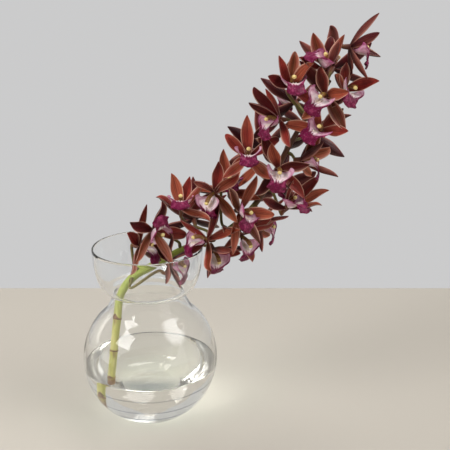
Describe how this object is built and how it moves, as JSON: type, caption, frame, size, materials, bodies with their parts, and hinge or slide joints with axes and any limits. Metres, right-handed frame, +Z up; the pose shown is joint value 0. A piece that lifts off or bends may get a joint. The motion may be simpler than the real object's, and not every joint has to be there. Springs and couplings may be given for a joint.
{
  "type": "orchid spray in glass vase",
  "caption": "Cut cymbidium orchid spray leaning out of a clear round glass vase with a narrow neck and a bowl-shaped mouth, part filled with water.",
  "frame": {"origin": "middle of the flat underside of the vase's foot", "axes": "+Z up, +X to the side that the spray leans towards, -Y to the front"},
  "size_m": [0.3128, 0.1496, 0.4424],
  "materials": {
    "glass": "clear polished glass",
    "water": "clear still water",
    "stem": "smooth living stem, yellow-green below and maroon at the tip",
    "tepals": "waxy red-brown petals with paler rims, and an olive column with a cream tip",
    "lip": "waxy pale pink with a spotted magenta front lobe"
  },
  "bodies": {
    "root": {"vase_rim": "glass", "vase_cup": "glass", "vase_neck": "glass", "vase_shoulder": "glass", "vase_ball": "glass", "vase_belly": "glass", "vase_base": "glass", "vase_foot": "glass", "water": "water", "stem": "stem", "flower_01_tepals": "tepals", "flower_01_lip": "lip", "flower_02_tepals": "tepals", "flower_02_lip": "lip", "flower_03_tepals": "tepals", "flower_03_lip": "lip", "flower_04_tepals": "tepals", "flower_04_lip": "lip", "flower_05_tepals": "tepals", "flower_05_lip": "lip", "flower_06_tepals": "tepals", "flower_06_lip": "lip", "flower_07_tepals": "tepals", "flower_07_lip": "lip", "flower_08_tepals": "tepals", "flower_08_lip": "lip", "flower_09_tepals": "tepals", "flower_09_lip": "lip", "flower_10_tepals": "tepals", "flower_10_lip": "lip", "flower_11_tepals": "tepals", "flower_11_lip": "lip", "flower_12_tepals": "tepals", "flower_12_lip": "lip", "flower_13_tepals": "tepals", "flower_13_lip": "lip", "flower_14_tepals": "tepals", "flower_14_lip": "lip", "flower_15_tepals": "tepals", "flower_15_lip": "lip", "flower_16_tepals": "tepals", "flower_16_lip": "lip", "flower_17_tepals": "tepals", "flower_17_lip": "lip", "flower_18_tepals": "tepals", "flower_18_lip": "lip", "flower_19_tepals": "tepals", "flower_19_lip": "lip", "flower_20_tepals": "tepals", "flower_20_lip": "lip", "flower_21_tepals": "tepals", "flower_21_lip": "lip", "flower_22_tepals": "tepals", "flower_22_lip": "lip", "flower_23_tepals": "tepals", "flower_24_tepals": "tepals", "flower_25_tepals": "tepals", "flower_26_tepals": "tepals", "flower_27_tepals": "tepals", "flower_28_tepals": "tepals"}
  },
  "joints": []
}
